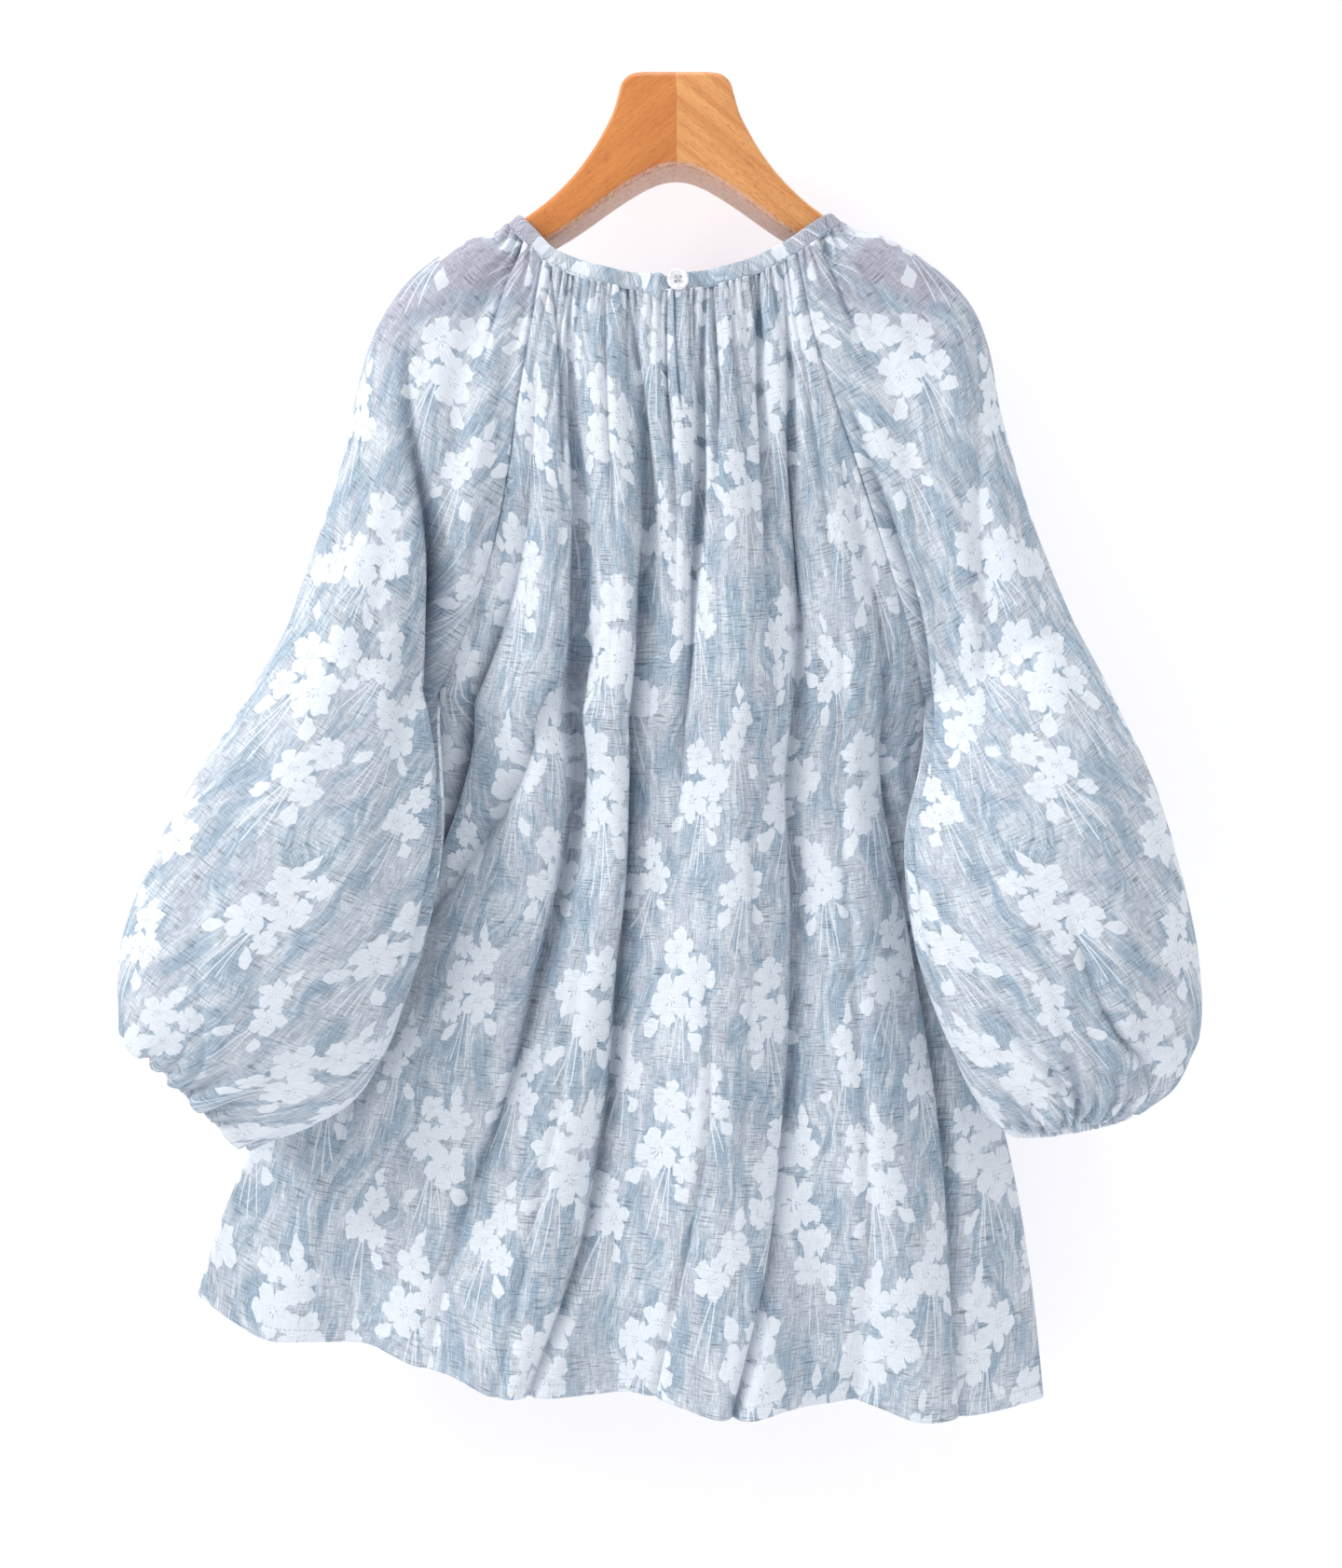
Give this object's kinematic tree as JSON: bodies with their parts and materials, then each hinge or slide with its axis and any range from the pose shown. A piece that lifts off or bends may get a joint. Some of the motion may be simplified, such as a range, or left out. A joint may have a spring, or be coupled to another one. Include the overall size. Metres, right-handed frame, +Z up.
{
  "type": "lantern sleeve blouse on a wooden hanger",
  "caption": "Loose woven blouse with raglan lantern sleeves, gathered neck binding, keyhole slit and button at the back, hung on a two-piece wooden hanger.",
  "frame": {"origin": "middle of the hanger head's flat top, where the hanger is held", "axes": "+Z up, +X to the right of someone who looks at the back of the blouse, +Y through the blouse from its back to its front"},
  "size_m": [0.6059, 0.1374, 0.7767],
  "materials": {
    "printed_cloth": "thin slub weave, brushed blue and grey ground with white flowers",
    "binding_cloth": "same cloth, folded double",
    "button_plastic": "polished white",
    "thread": "twisted sewing thread",
    "wood_dark": "satin varnish",
    "wood_light": "satin varnish"
  },
  "bodies": {
    "root": {"back_panel": "printed_cloth", "front_panel": "printed_cloth", "sleeve_left": "printed_cloth", "sleeve_right": "printed_cloth", "neck_binding": "binding_cloth", "cuff_left": "binding_cloth", "cuff_right": "binding_cloth", "button": "button_plastic", "button_shank": "thread", "button_loop": "thread", "hanger_left": "wood_dark", "hanger_right": "wood_light"}
  },
  "joints": []
}
